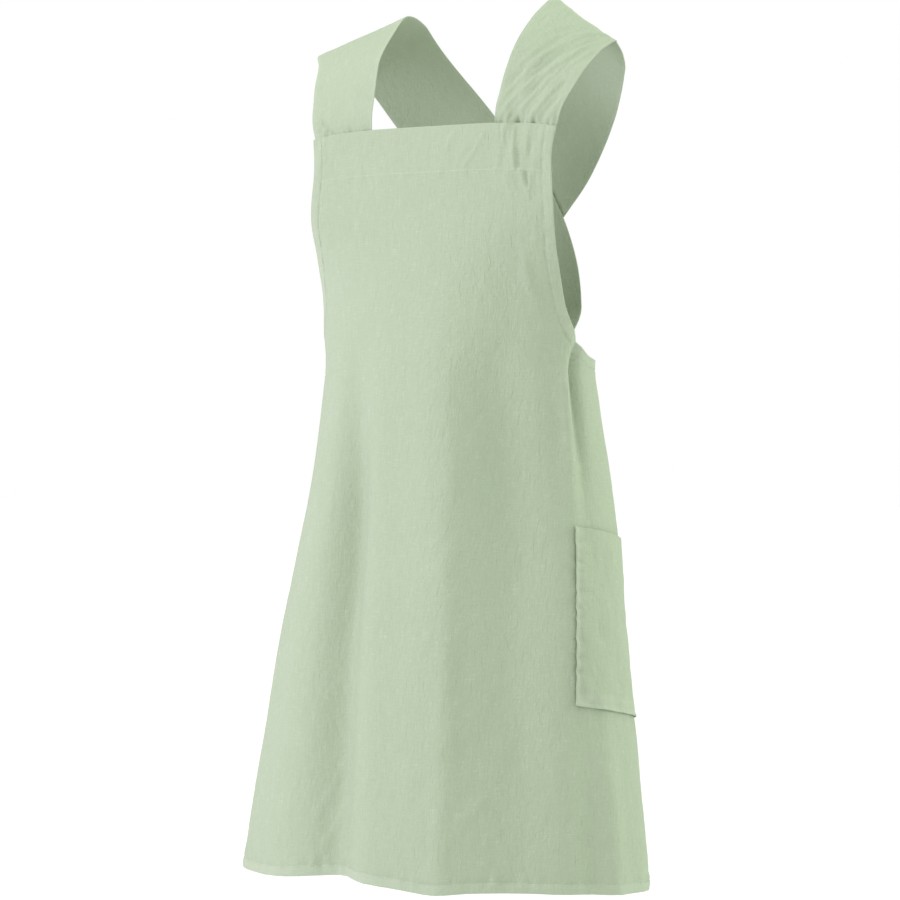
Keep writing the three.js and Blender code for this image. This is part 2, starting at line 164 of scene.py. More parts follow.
# %% Sections, side edge and folds
SECTIONS = np.array([  # level, half width and half depth as shares of the sizes below, flare
    [0, 1.424, 0.06, 0], [0.05, 1.406, 0.09, 0.05], [0.116, 1.364, 0.3, 0.12],
    [0.17, 1.165, 0.655, 0.18], [0.225, 1.075, 0.89, 0.235], [0.28, 1.01, 0.91, 0.31],
    [0.32, 0.98, 0.925, 0.36], [0.36, 1, 0.97, 0.395], [0.47, 0.731, 0.82, 0.47],
    [0.58, 0.8, 0.85, 0.568], [0.69, 0.862, 0.885, 0.7], [0.8, 0.912, 0.93, 0.81],
    [0.9, 0.958, 0.968, 0.91], [1, 1, 1, 1],
])
SECTIONS[:3, 1] *= BIB_HALF_WIDTH
SECTIONS[3:8, 1] *= TORSO_HALF_WIDTH
SECTIONS[:8, 2] *= TORSO_HALF_DEPTH
SECTIONS[8:, 1:3] *= HEM_HALF_WIDTH, HEM_HALF_DEPTH
SIDE_EDGE = np.array([  # angle in degrees, share of the armhole's depth below the bib's corner
    [44.3, 0], [43.5, 0.13], [45.3, 0.28], [47.8, 0.4], [54, 0.58], [61.5, 0.755], [68.5, 0.842],
    [77.5, 0.925], [88, 0.98], [100, 1], [116, 1], [142, 0.975], [174, 0.94],
])
TURN_ROW = 7  # the row of the side edge where the bib's rows end and the wings' begin
FOLDS = [  # angles at bib and hem, levels where it starts, is deepest and is gone, depth, width
    (13, 18, 0.1, 0.6, 3, 1.3, 13), (17, 20, 0.3, 0.8, 3, 0.4, 4),
    (-35, -15, 0.22, 0.6, 3, -3.3, 9), (-58, -36, 0.26, 0.6, 3, 0.4, 8),
    (-14, -4, 0.3, 0.9, 3, 0.3, 8), (37, 42, 0.12, 0.45, 3, -1.2, 13),
    (66, 64, 0.72, 1, 3, -0.6, 6), (74, 75, 0.66, 0.95, 3, 0.75, 6),
    (110, 112, 0.5, 0.66, 0.85, -0.45, 20), (82, 66, 0.22, 0.34, 0.56, -1, 3.4),
    (74, 60, 0.24, 0.38, 0.62, 0.7, 4), (29, 29, -0.05, 0, 0.07, -0.22, 2.6),
    (140, 138, 0.4, 0.9, 3, 0.8, 14), (-140, -138, 0.4, 0.9, 3, 0.8, 14),
]
half_width_at, half_depth_at, flare_at = (
    smooth_curve(SECTIONS[:, 0], column) for column in SECTIONS[:, 1:].T
)
print(len(SECTIONS), "sections,", len(FOLDS), "folds")


# %% The round with its folds
def level_of(z):
    """The share of the body's length that a height lies below the bib's top."""
    return (BIB_TOP - z) / BODY_LENGTH


def fold_depth(angle, level):
    """The sum of the folds: for each, its depth times a bell curve of the angle from its middle,
    faded in from the level where it starts and out to the level where it is gone."""
    total = np.zeros(np.shape(angle))
    for top, hem, start, full, end, depth, width in FOLDS:
        middle = mix(top, hem, np.clip(level, 0, 1))
        fade = ease(level, start, full) * (1 - ease(level, full, end))
        total += FOLD_DEPTH * depth * fade * bell(angle / DEGREE - middle, width)
    return total


def folded_round(angle, z):
    """A point of the round and its level outward direction. x is the half width times the sine of
    the angle, y is the centre less the half depth times its cosine, and the folds move the point
    along the ellipse's normal."""
    level = level_of(z)
    width, depth = half_width_at(level), half_depth_at(level)
    centre = depth - mix(BIB_REACH, HEM_REACH, flare_at(level))
    sine, cosine = np.sin(angle), np.cos(angle)
    out = unit(np.stack([depth * sine, -width * cosine, 0 * angle], -1))
    point = np.stack([width * sine, centre - depth * cosine, z + 0 * angle], -1)
    return point + fold_depth(angle, level)[..., None] * out, out


def walk(angle, z, length):
    """The angle that lies a length along the round from another one at the same height, found in
    steps whose turn is the step's length over the length of one radian there."""
    turn, steps = 0.5 * DEGREE, 12
    for _ in range(steps):
        ahead, here = folded_round(angle + turn, z)[0], folded_round(angle, z)[0]
        angle = angle + length / steps * turn / np.linalg.norm(ahead - here, axis=-1)
    return angle


# %% [markdown]
# ## The sheet's edges
# The side edge runs from the bib's corner down the armhole and under the arm to the back corner.
# Its table becomes two curves of the length along it. Closeness to an edge or a row of stitches is
# needed later, for hems and puckers: near a slanting line it is the product of the level and the
# upright distance over the root of the sum of their squares.

# %% Side edge
edge_angles = SIDE_EDGE[:, 0] * DEGREE
edge_heights = BIB_TOP - CORNER_DROP - SIDE_EDGE[:, 1] * (ARMHOLE_DEPTH - CORNER_DROP)
edge_points = folded_round(edge_angles, edge_heights)[0]
edge_lengths = np.append(0, np.cumsum(np.linalg.norm(np.diff(edge_points, axis=0), axis=1)))
edge_angle_at = smooth_curve(edge_lengths, edge_angles)
edge_height_at = smooth_curve(edge_lengths, edge_heights)
TURN, EDGE_END = edge_lengths[TURN_ROW], edge_lengths[-1]
LEVEL_FROM = 45.3 * DEGREE  # from here on the edge has one height at each angle
fine_edge = np.linspace(0, EDGE_END, 800)
fine_angles, fine_heights = edge_angle_at(fine_edge), edge_height_at(fine_edge)
upright = fine_angles < 90 * DEGREE
level_part = fine_angles > LEVEL_FROM
print("side edge:", round(EDGE_END, 3), "m, turns level at", round(TURN, 3), "m")


def edge_point(places):
    """Points of the side edge on the folded round, given by the lengths along it."""
    return folded_round(edge_angle_at(places), edge_height_at(places))[0]


def hem_height(angle):
    """The height of the hem: lower towards the back by half the drop times one less the cosine,
    drawn up over the front and dipping under the front fold by two bell curves of the angle."""
    turn = angle / DEGREE
    drawn_up = 5 * MM * bell(turn + 14, 15)
    dip = 3.5 * MM * bell(turn - 17, 8)
    return HEM_LEVEL - HEM_BACK_DROP * (1 - np.cos(angle)) / 2 + drawn_up - dip


def facing_line(angle):
    """The height of the stitches that hold the facing, a shallow arch across the bib."""
    share = np.clip(np.abs(angle) / edge_angle_at(FACING_DEPTH), 0, 1)
    return edge_height_at(FACING_DEPTH) + FACING_ARCH * (1 - share ** 4)


CORNER_Z, BACK_HEM_Z = edge_height_at(EDGE_END), hem_height(BACK_ANGLE_HEM)


def back_edge_angle(z):
    """The angle of the open back's edge, which changes evenly with the height."""
    return mix(BACK_ANGLE_TOP, BACK_ANGLE_HEM, (CORNER_Z - z) / (CORNER_Z - BACK_HEM_Z))


def from_armhole(angle, z):
    """How far inside the side edge a point of the pattern lies, in metres. Where the edge has no
    angle or no height of its own, one beyond the sheet stands in for it."""
    beyond_angle, beyond_height = 4.0, 1.0
    turn = np.abs(angle)
    level = level_of(z)
    radian = np.hypot(half_width_at(level) * np.cos(turn), half_depth_at(level) * np.sin(turn))
    edge = np.interp(-z, -fine_heights[upright], fine_angles[upright], right=beyond_angle)
    height = np.interp(
        turn, fine_angles[level_part], fine_heights[level_part], left=beyond_height,
    )
    across, down = np.maximum((edge - turn) * radian, 0), np.maximum(height - z, 0)
    return across * down / np.maximum(np.hypot(across, down), 1e-9)


# %% [markdown]
# ## What makes it linen
# Washed linen never lies quite flat. Broad soft waves, a finer crumple and a net of small creases
# are added, more of them towards the hem and the wearer's left. Rows of stitches pull a narrow
# groove and draw the cloth into puckers, and the bib is pleated where a strap is gathered into it.

# %% The pocket's place, and creases given one by one
POCKET_ANGLES = 66.3 * DEGREE, 61.9 * DEGREE
POCKET_DROP, POCKET_HEIGHT, POCKET_WIDTH = 466 * MM, 201 * MM, 185 * MM
SHEET_CREASES = [  # angle and drop below the bib's top of both ends, height and width, millimetres
    (28, 5, 28.8, 32, 2.3, 2.4), (28.6, 30, 29.8, 55, 2.4, 2.4), (30.8, 32, 31.6, 58, -1.6, 2.2),
    (31.4, 54, 34, 72, 2, 2.2), (33.8, 70, 37, 92, 1.6, 2.3), (34.2, 57, 35.6, 75, -1.8, 2.2),
    (35.6, 60, 36.6, 82, 1.6, 2.2), (29.6, 60, 33.4, 86, -1.2, 2.5), (26.4, 62, 31, 96, 0.9, 2.8),
    (24.2, 4, 25.2, 27, 1.5, 2.5), (22.4, 5, 23, 21, 1.1, 2.5), (33, 10, 33.8, 38, 0.9, 2.2),
    (36.2, 6, 36.8, 46, 0.8, 2.2), (38.8, 20, 40, 62, 0.6, 2.4), (18, 7, 15.6, 28, 1, 2.8),
    (15.8, 28, 12, 49, 1.1, 2.8), (12.6, 22, 10.4, 40, 0.6, 3), (7.6, 8, 5.4, 30, 0.8, 3),
    (-21.6, 10, -22.8, 38, 0.6, 3), (-34, 6, -32, 22, 0.6, 3), (-36.4, 92, -33, 99, 0.6, 2.6),
    (36.8, 150, 47.8, 210, 1.5, 6), (33, 130, 40, 172, -0.9, 5), (40.5, 110, 43, 150, 0.7, 4),
    (-6, 720, -16, 800, 1.3, 4.5), (-12, 716, -20, 772, -1, 4), (-14, 770, -22, 846, 1.4, 4.5),
    (-20, 760, -26, 820, 1, 4), (24, 800, 31, 770, 1.2, 4.5), (30, 826, 38, 790, 1.1, 4.5),
]


def spread_out(angle, z):
    """The sheet seen straight from the front: the half width times the sine of the angle, and z."""
    return np.stack([half_width_at(level_of(z)) * np.sin(angle), z + 0 * angle], -1)


def crease_ends(rows):
    """The ends of creases on the sheet as it is spread out, and their heights and widths."""
    rows = np.array(rows)
    place = lambda k: spread_out(rows[:, k] * DEGREE, BIB_TOP - rows[:, k + 1] * MM)
    return place(0), place(2), rows[:, 4] * MM, rows[:, 5] * MM


sheet_creases = crease_ends(SHEET_CREASES)
print(len(SHEET_CREASES), "creases placed by hand")


# %% Crumple and seams
GROOVE_WIDTH = 1.6 * MM
# where the paler band above a hem, from use and a painted highlight, fades out
PALE_EDGE = 9 * MM, 13 * MM


def crumple(angle, z, point):
    """How far the cloth's crumples push a point outward: broad waves, a finer field and creases,
    times an amount that grows down the sheet and towards the wearer's left, along the crest of
    the front fold and close above the hem."""
    level = level_of(z)
    lower = ease(level, 0.15, 0.9)
    left = ease(angle / DEGREE, 2, 24) * (1 - 0.5 * ease(angle / DEGREE, 70, 100))
    crest = lower * bell(angle / DEGREE - 22, 5)
    broad = 1.3 * waves(point, 0.17, 14, 3, stretch=(1, 1, 2.4))
    middle = 0.28 * waves(point, 0.048, 22, 5, stretch=(1, 1, 1.8))
    small = 0.17 * waves(point, 0.017, 30, 7, stretch=(1, 1, 2.4))
    lines = 0.55 * crease_net(point, 0.085, 11) - 0.42 * crease_net(point, 0.055, 21)
    fine = 0.26 * crease_net(point, 0.032, 31, sharp=0.26)
    amount = 0.28 + 0.3 * lower + 0.38 * left + 0.5 * crest + 0.35 * ease(level, 0.84, 0.97)
    return MM * (broad * (0.25 + 0.75 * lower) + amount * (middle + small + lines + fine))


def seam(distance, groove, reach, puckers):
    """A row of stitches: a narrow groove, or a ridge if groove is negative, and puckers, which fade
    away from it as a bell curve."""
    return puckers * bell(distance, reach) - groove * bell(distance, GROOVE_WIDTH)


def seams(angle, z, point):
    """The grooves and puckers of the facing's stitches, the armhole hems and the bottom hem, which
    stand out a little because the cloth is folded there, the puckers beside the pocket's front
    edge, and the pleats under each strap."""
    rough = waves(point, 0.013, 18, 41, stretch=(1, 1, 5))
    cross = waves(point, 0.014, 18, 43)
    from_facing = z - facing_line(angle)
    from_hem = z - hem_height(angle) - HEM_WIDTH
    from_edge = from_armhole(angle, z) - HEM_WIDTH
    total = seam(from_facing, -0.2 * MM, 9 * MM, 0.2 * MM * rough)
    total += seam(from_hem, 0.7 * MM, 9 * MM, 0.55 * MM * rough)
    total += seam(from_edge, 0.6 * MM, 7 * MM, 0.26 * MM * cross)
    folded = ease(-from_hem, -MM, 2 * MM) + ease(-from_edge, -MM, 2 * MM)
    total += 0.35 * MM * np.minimum(folded, 1)
    down = (BIB_TOP - POCKET_DROP - z) / POCKET_HEIGHT
    from_pocket = (angle - mix(*POCKET_ANGLES, down)) * half_width_at(level_of(z))
    beside = ease(down, -0.08, 0.05) * (1 - ease(down, 0.95, 1.08)) * bell(from_pocket, 11 * MM)
    total += 0.42 * MM * beside * waves(point, 0.011, 20, 45, stretch=(2.6, 2.6, 1))
    under_strap = ease(np.abs(point[..., 0]), 0.078, 0.1) * ease(from_facing, -0.03, 0.02)
    left = np.where(angle > 0, 1.0, 0.45)
    return total + 0.6 * MM * left * under_strap * waves(point, 0.016, 18, 47, stretch=(1, 1, 4))


def wear_and_highlight(angle, z):
    """How much paler the cloth is painted, from 0 to 1: a painted highlight in a thin line along the
    facing's stitches, and the folded hems, paler partly from use and partly as a painted highlight."""
    stitched = bell(z - facing_line(angle), 1.2 * MM)
    low = 1 - ease(z - hem_height(angle), *PALE_EDGE)
    side = 1 - ease(from_armhole(angle, z), *PALE_EDGE)
    return np.maximum(0.35 * stitched, np.maximum(0.34 * low, 0.24 * side))


def cloth_point(angle, z):
    """A point of the finished sheet: the folded round, moved outward by crumples, seams and the
    creases placed by hand."""
    point, out = folded_round(angle, z)
    relief = crumple(angle, z, point) + seams(angle, z, point)
    relief += straight_creases(spread_out(angle, z), *sheet_creases)
    return point + relief[..., None] * out


def cloth(angle, z):
    """Points of the sheet and its outward normals there, from the slopes down and round."""
    turn, drop = 0.25 * DEGREE, 0.9 * MM
    across = cloth_point(angle + turn, z) - cloth_point(angle - turn, z)
    down = cloth_point(angle, z - drop) - cloth_point(angle, z + drop)
    return cloth_point(angle, z), unit(np.cross(down, across))


# %% [markdown]
# ## From surface to cloth
# A cloth wall is closed: an outer skin, an inner skin and a rounded edge between them. The edge is
# three rings of points. On a folded hem the nose of that round lies between the two layers, so the
# sheet and its hem meet there as one turned fold. Lines close to each edge keep its shading crisp.

# %% Grids and meshes
def with_support(count, length, first=0.0, last=1.0):
    """Even shares from first to last, with one more line 0.5 mm inside each end."""
    shares = np.linspace(first, last, count)
    near = 0.5 * MM / length
    return np.concatenate([shares[:1], [first + near], shares[1:-1], [last - near], shares[-1:]])


def grid_quads(numbers):
    """The four corners of each cell of a grid of vertex numbers, anticlockwise from outside when
    its rows go down and its columns go towards the wearer's left."""
    corners = numbers[:-1, :-1], numbers[1:, :-1], numbers[1:, 1:], numbers[:-1, 1:]
    return np.stack(corners, -1).reshape(-1, 4)


def lengths_along(points, axis):
    """The length along each line of a grid, measured from its first point."""
    steps = np.linalg.norm(np.diff(points, axis=axis), axis=-1)
    start = np.zeros_like(steps.take([0], axis=axis))
    return np.concatenate([start, np.cumsum(steps, axis=axis)], axis=axis)


def flat_rows(grid):
    """A grid of points, normals or UV pairs as one list."""
    return grid.reshape(-1, grid.shape[-1])


def add_object(name, data):
    """A new object of the scene, at the origin."""
    made = bpy.data.objects.new(name, data)
    bpy.context.scene.collection.objects.link(made)
    return made


def make_object(name, vertices, quads, uv):
    """A smooth mesh object of four-sided faces, at the origin, with one UV pair a vertex."""
    mesh = bpy.data.meshes.new(name)
    mesh.vertices.add(len(vertices))
    mesh.vertices.foreach_set("co", np.ascontiguousarray(vertices, np.float32).ravel())
    mesh.loops.add(quads.size)
    mesh.loops.foreach_set("vertex_index", quads.astype(np.int32).ravel())
    mesh.polygons.add(len(quads))
    mesh.polygons.foreach_set("loop_start", np.arange(0, quads.size, 4, dtype=np.int32))
    mesh.update(calc_edges=True)
    layer = mesh.uv_layers.new(name="UVMap")
    layer.data.foreach_set("uv", uv[quads.ravel()].astype(np.float32).ravel())
    mesh.shade_smooth()
    return add_object(name, mesh)


def cloth_wall(name, middle, normal, uv, quads, wall=WALL, nose=0.0, worn=0.0):
    """Closes a sheet of cells into a wall. Each skin lies half the wall from the middle along the
    normal. nose says how far inward of the middle the round of the edge is centred. The paleness
    from use and painted highlight goes to the mesh as an attribute, which the linen reads."""
    diagonal = 0.71  # the cosine of 45 degrees
    count = len(middle)
    edges = np.concatenate([quads[:, [k, (k + 1) % 4]] for k in range(4)])
    code = edges.min(1) * count + edges.max(1)
    _, first, uses = np.unique(code, return_index=True, return_counts=True)
    border = edges[first[uses == 1]]
    side = unit(np.cross(middle[border[:, 1]] - middle[border[:, 0]], normal[border[:, 0]]))
    out = np.zeros_like(middle)
    np.add.at(out, border[:, 0], side)
    np.add.at(out, border[:, 1], side)
    rim = np.unique(border)
    ring = np.zeros(count, int)
    ring[rim] = np.arange(len(rim))
    away, along = unit(out[rim]), normal[rim]
    nose = np.broadcast_to(nose, count)[rim][:, None]
    upper, lower = wall / 2 + nose, wall / 2 - nose
    reach = np.maximum(np.abs(upper), np.abs(lower))
    centre = middle[rim] - along * nose
    rings = [
        centre + diagonal * (along * upper + away * reach),
        centre + away * reach,
        centre - diagonal * (along * lower - away * reach),
    ]
    skins = [middle + normal * wall / 2, middle - normal * wall / 2]
    a, b = border.T
    m = len(rim)
    lines = [(a, b)] + [(2 * count + k * m + ring[a], 2 * count + k * m + ring[b]) for k in range(3)]
    lines.append((a + count, b + count))
    faces = [quads, quads[:, ::-1] + count]
    for (a0, b0), (a1, b1) in zip(lines, lines[1:]):
        faces.append(np.stack([b0, a0, a1, b1], -1))
    source = np.concatenate([np.arange(count)] * 2 + [rim] * 3)
    made = make_object(name, np.concatenate(skins + rings), np.concatenate(faces), uv[source])
    every_worn = np.broadcast_to(worn, count)[source].astype(np.float32)
    made.data.attributes.new("worn", "FLOAT", "POINT").data.foreach_set("value", every_worn)
    print(name, len(made.data.polygons) * 2, "triangles")
    return made


def grid_wall(name, middle, normal, **more):
    """A wall on a plain grid of points and normals, with UV lengths measured along its lines."""
    uv = np.stack([lengths_along(middle, 1), -lengths_along(middle, 0)], -1)
    numbers = np.arange(middle[..., 0].size).reshape(middle.shape[:-1])
    parts = [flat_rows(part) for part in (middle, normal, uv)]
    return cloth_wall(name, *parts, grid_quads(numbers), **more)


def sheet_grid(name, angle, z, inset=0.0, **more):
    """A wall that lies on the large sheet: the sheet's points moved inward by inset along its
    normals."""
    middle, normal = cloth(angle, z)
    middle = middle - normal * np.broadcast_to(inset, angle.shape)[..., None]
    # unless given, the sheet's pale bands along stitches and hems: use, and a painted highlight
    more.setdefault("worn", wear_and_highlight(angle, z).ravel())
    return grid_wall(name, middle, normal, **more)


# %% [markdown]
# ## The sheet itself
# Its grid has two blocks that share a row: the bib, whose rows span from one armhole to the other,
# and the skirt, whose rows also take in both wings. The rows lie closer at the hems and the
# facing, where there is more to see. Its edges turn in towards their hems.

# %% Apron body
BIB_COLUMNS, WING_COLUMNS = 196, 44
columns = 2 * with_support(BIB_COLUMNS + 1, 0.35) - 1
beside_stitches = FACING_DEPTH + np.array([-4.5, -2.8, -1.6, -0.8, 0, 0.8, 1.6, 2.8, 4.5]) * MM
bib_places = np.concatenate([
    [0, 0.5 * MM], np.linspace(2.8 * MM, 46 * MM, 16), beside_stitches,
    np.linspace(60.5 * MM, 96 * MM, 12), np.linspace(101 * MM, TURN, 22),
])


def bib_grid(places, shares):
    """Angles and heights of the bib's rows, given by the places along the side edge where they end.
    Each row rises towards its middle by the corner drop times one less the fourth power of the
    share across, less and less towards the lowest row. The solids have eleven rows there, two of
    them on the facing."""
    facing_rows, all_rows = 2, 11
    row = np.where(
        places < FACING_DEPTH,
        facing_rows * places / FACING_DEPTH,
        facing_rows + (all_rows - facing_rows) * (places - FACING_DEPTH) / (TURN - FACING_DEPTH),
    )[:, None] / all_rows
    angle = shares[None] * edge_angle_at(places)[:, None]
    rise = CORNER_DROP * (1 - shares[None] ** 4) * (1 - row)
    return angle, edge_height_at(places)[:, None] + rise


bib_angle, bib_z = bib_grid(bib_places, columns)
wing_places = mix(TURN, EDGE_END, with_support(WING_COLUMNS + 1, 0.4)[2:])
wing_angle, wing_z = edge_angle_at(wing_places), edge_height_at(wing_places)
first_angle = np.concatenate([-wing_angle[::-1], bib_angle[-1], wing_angle])
first_z = np.concatenate([wing_z[::-1], bib_z[-1], wing_z])
turn_angle = edge_angle_at(TURN)
wing_share = (wing_places - TURN) / (EDGE_END - TURN)
wing_hem = mix(turn_angle, BACK_ANGLE_HEM, wing_share)
hem_angle = np.concatenate([-wing_hem[::-1], columns * turn_angle, wing_hem])
fall = first_z - hem_height(hem_angle)
close = np.array([0, 0.5, 2.5, 5, 7.5, 9.5, 11, 12.5, 15]) * MM
top_rows, hem_rows = close[:, None] + 0 * fall, fall - close[::-1][:, None]
middle_rows = mix(top_rows[-1], hem_rows[0], np.linspace(0, 1, 109)[1:-1, None])
depth = np.concatenate([top_rows, middle_rows, hem_rows])
skirt_angle = mix(first_angle, hem_angle, depth / fall)
skirt_z = first_z - depth
wings = len(wing_places)
skirt_count = skirt_angle.size
skirt_numbers = np.arange(skirt_count).reshape(skirt_angle.shape)
bib_upper = bib_angle[:-1]
bib_numbers = skirt_count + np.arange(bib_upper.size).reshape(bib_upper.shape)
shared_row = skirt_numbers[:1, wings:wings + len(columns)]
body_quads = np.concatenate([
    grid_quads(np.concatenate([bib_numbers, shared_row])), grid_quads(skirt_numbers),
])
bib_middle, bib_normal = cloth(bib_angle, bib_z)
skirt_middle, skirt_normal = cloth(skirt_angle, skirt_z)


def body_uv(middle, centre):
    """Lengths across from the front centre, and the fall along the front below the bib's top."""
    across = lengths_along(middle, 1)
    across -= across[:, centre:centre + 1]
    return np.stack([across, middle[..., 2] - BIB_TOP], -1)


bib_uv = body_uv(bib_middle, len(columns) // 2)
skirt_uv = body_uv(skirt_middle, wings + len(columns) // 2)
body_parts = [
    np.concatenate([flat_rows(lower), flat_rows(upper[:-1])])
    for lower, upper in ((skirt_middle, bib_middle), (skirt_normal, bib_normal), (skirt_uv, bib_uv))
]
# the sheet's pale bands along stitches and hems: use, and a painted highlight
body_worn = np.append(wear_and_highlight(skirt_angle, skirt_z), wear_and_highlight(bib_upper, bib_z[:-1]))
body = cloth_wall("body", *body_parts, body_quads, nose=LAYER / 2, worn=body_worn)

# %% [markdown]
# ## Facing and hems
# The facing is the band turned to the inside at the bib's top, and the hems are narrow strips
# turned inside along every other edge. They follow the sheet's own creases, one layer further in.
# The facing stands off where a strap's end lies between it and the sheet.

# %% Bib facing
STRAP_WIDTH, STRAP_SPREAD = 108 * MM, 153.5 * MM
FACET_ROOM = 0.45 * MM
strap_inner = STRAP_SPREAD * 0.815 - STRAP_WIDTH * 0.745 / 2
facing_angle, facing_z = bib_grid(with_support(24, FACING_DEPTH) * FACING_DEPTH, columns)
facing_x = np.abs(folded_round(facing_angle, facing_z)[0][..., 0])
stand = ease(facing_x, strap_inner - 26 * MM, strap_inner - 8 * MM)
facing = sheet_grid(
    "facing", facing_angle, facing_z, LAYER + (LAYER + 2 * FACET_ROOM) * stand,
    nose=-np.where(np.arange(facing_z.shape[0])[:, None] == 0, LAYER / 2 * (1 - stand), 0).ravel(),
)


# %% Hems
def edge_strip(places, shares, sign):
    """Angles and heights of a strip inside the side edge: each place is walked inward, across the
    edge's own direction, by its share of the hem's width."""
    step = 0.5 * MM
    angle, z = edge_angle_at(places), edge_height_at(places)
    along = unit(edge_point(places + step) - edge_point(places - step))
    round_about = unit(folded_round(angle + DEGREE, z)[0] - folded_round(angle - DEGREE, z)[0])
    normal = np.cross(np.array([0, 0, -1.0]), round_about)
    inward = unit(np.cross(along, normal))
    width = shares[:, None] * HEM_WIDTH
    strip_angle = walk(angle + 0 * width, z + 0 * width, (inward * round_about).sum(-1) * width)
    return sign * strip_angle, z + inward[:, 2] * width


def hem_nose(shape, line):
    """The nose of a hem lies towards the sheet along the folded line and nowhere else."""
    nose = np.zeros(shape)
    nose[line] = -LAYER / 2
    return nose.ravel()


hem_shares = with_support(6, HEM_WIDTH)
GAP = 0.3 * MM
hem_pieces = {}
for side, sign in (("left", 1), ("right", -1)):
    places = mix(FACING_DEPTH + GAP, EDGE_END, with_support(170, 0.4))
    strip_angle, strip_z = (part[:, ::sign] for part in edge_strip(places, hem_shares, sign))
    hem_pieces["armhole_hem_" + side] = sheet_grid(
        "arm_hem_" + side, strip_angle, strip_z, LAYER, nose=hem_nose(strip_angle.shape, 0),
    )
    top_z, foot_z = CORNER_Z - HEM_WIDTH - GAP, BACK_HEM_Z + HEM_WIDTH + GAP
    back_z = mix(top_z, foot_z, with_support(180, 0.6))[:, None] + 0 * hem_shares
    back_angle = walk(back_edge_angle(back_z), back_z, -hem_shares[::-1] * HEM_WIDTH)[:, ::sign]
    hem_pieces["back_hem_" + side] = sheet_grid(
        "back_edge_hem_" + side, sign * back_angle, back_z, LAYER,
        nose=hem_nose(back_angle.shape, np.s_[:, -1 if sign > 0 else 0]),
    )
hem_line = np.interp(with_support(420, 1.2), np.linspace(0, 1, len(hem_angle)), hem_angle)
low_angle = hem_line + 0 * hem_shares[:, None]
low_z = hem_height(low_angle) + HEM_WIDTH * (1 - hem_shares[:, None])
hem_pieces["bottom_hem"] = sheet_grid(
    "low_hem", low_angle, low_z, LAYER, nose=hem_nose(low_angle.shape, -1),
)

# %% [markdown]
# ## Straps
# Each strap is a wide double band. Its middle line passes through a table of stations from inside
# the bib, over the shoulder and across the back into the far wing. lean and yaw turn its width. At
# the bib it is gathered, and from the gathers long wrinkles run up and out towards the shoulder.

# %% Strap stations
WING_TOP = BIB_TOP - 0.95 * ARMHOLE_DEPTH
BACK_ROUND = 300 * MM
SHOULDER_TILT = 0.2
STRAP_WALL = 1.3 * MM
GATHER_DEPTH = 1.6 * MM
BULGE, BULGE_STATION, BULGE_REACH = 6.5 * MM, 3, 0.75
FRONT, BACK = -BIB_TOP, WING_TOP
STATIONS = np.array([  # x, z, reach, front, width, lean, yaw
    [0.8, BIB_TOP - 34 * MM, 1, 1, 0.695, 0, 0],
    [0.806, -1.03 * FRONT, 0.985, 1, 0.73, 5, 0],
    [0.866, -0.63 * FRONT, 0.817, 1, 0.86, 0, 7.4],
    [0.928, -0.275 * FRONT, 0.528, 1, 0.968, 4, 15],
    [0.99, -0.01 * FRONT, 0.15, 1, 1.06, 26, -9],
    [0.89, 0.055 * BACK, 0, 0, 1.02, 37, 0],
    [0.72, 0.19 * BACK, 0, 0, 0.98, 42, 0],
    [0.4, 0.37 * BACK, 0, 0, 0.96, 38, 0],
    [0.02, 0.55 * BACK, 0, 0, 0.94, 32, 0],
    [-0.26, 0.77 * BACK, 0, 0, 0.92, 20, 0],
    [-0.41, 0.98 * BACK, 0, 0, 0.78, 6, 0],
    [-0.43, BACK - 24 * MM, 0, 0, 0.76, 3, 0],
])
BACK_LINE = np.array([  # share of the height down to the wing, share of the bib's reach behind
    [-0.1, 0.33], [0, 0.5], [0.1, 0.74], [0.2, 0.89], [0.37, 0.99], [0.55, 1], [0.78, 0.92], [1, 0.77],
])
station_at = [smooth_curve(np.arange(len(STATIONS)), column) for column in STATIONS.T]
width_at = station_at[4]
behind_at = smooth_curve(BACK_LINE[:, 0], BACK_LINE[:, 1] * BIB_REACH)


def beside_sheet(x, z, behind, inset):
    """How far back the sheet lies at x and z, on its front or its back, less an inset inward. The
    angle is the arc sine of x over the half width, or its supplement on the back."""
    turn = np.arcsin(np.clip(x / half_width_at(level_of(z)), -1, 1))
    point, normal = cloth(np.pi - turn if behind else turn, z)
    return point[..., 1] - inset / normal[..., 1]


def strap_surface(side, step, across):
    """The middle of a strap's wall. across goes from -1 at the neck's edge to 1 at the shoulder's.
    The width's reach is turned by lean and yaw, the front part takes its depth from the table, the
    back part from the line of the back, and both ends follow the sheet that they are sewn to. The
    right one bulges a little at its outer edge on its way up from the bib."""
    x_share, z_mid, reach_share, front, width, lean, yaw = (curve(step) for curve in station_at)
    reach = across * width * STRAP_WIDTH / 2
    if side < 0:
        reach = reach + BULGE * ease(across, -0.2, 1) * bell(step - BULGE_STATION, BULGE_REACH)
    lean = lean * (1 + side * SHOULDER_TILT * ease(step, 5, 4)) * DEGREE
    yaw = yaw * DEGREE
    x = x_share * STRAP_SPREAD + reach * np.cos(lean) * np.cos(yaw)
    z = z_mid - reach * np.sin(lean)
    gather = (0.6 + 0.4 * side) * GATHER_DEPTH * np.cos(3 * np.pi * across) * (1 - across ** 4)
    fade = ease(step, 0.9, 1.3) * (1 - ease(step, 1.6, 3))
    in_front = -reach_share * BIB_REACH + reach * np.sin(yaw) + gather * fade
    apart = side * (LAYER / 2 + FACET_ROOM) * ease(step, 5, 7) * (1 - ease(step, 9.5, 10))
    at_back = behind_at(z / WING_TOP) - x * x / (2 * BACK_ROUND) + apart
    y = mix(at_back, in_front, np.clip(front, 0, 1))
    in_bib = 1 - ease(step, 1, 1.9)
    y = mix(y, beside_sheet(side * x, z, False, LAYER + FACET_ROOM), in_bib)
    in_wing = ease(step, 9.5, 9.95)
    y = mix(y, beside_sheet(side * x, z, True, 2 * LAYER + FACET_ROOM), in_wing)
    return np.stack([side * x, y, z], -1)


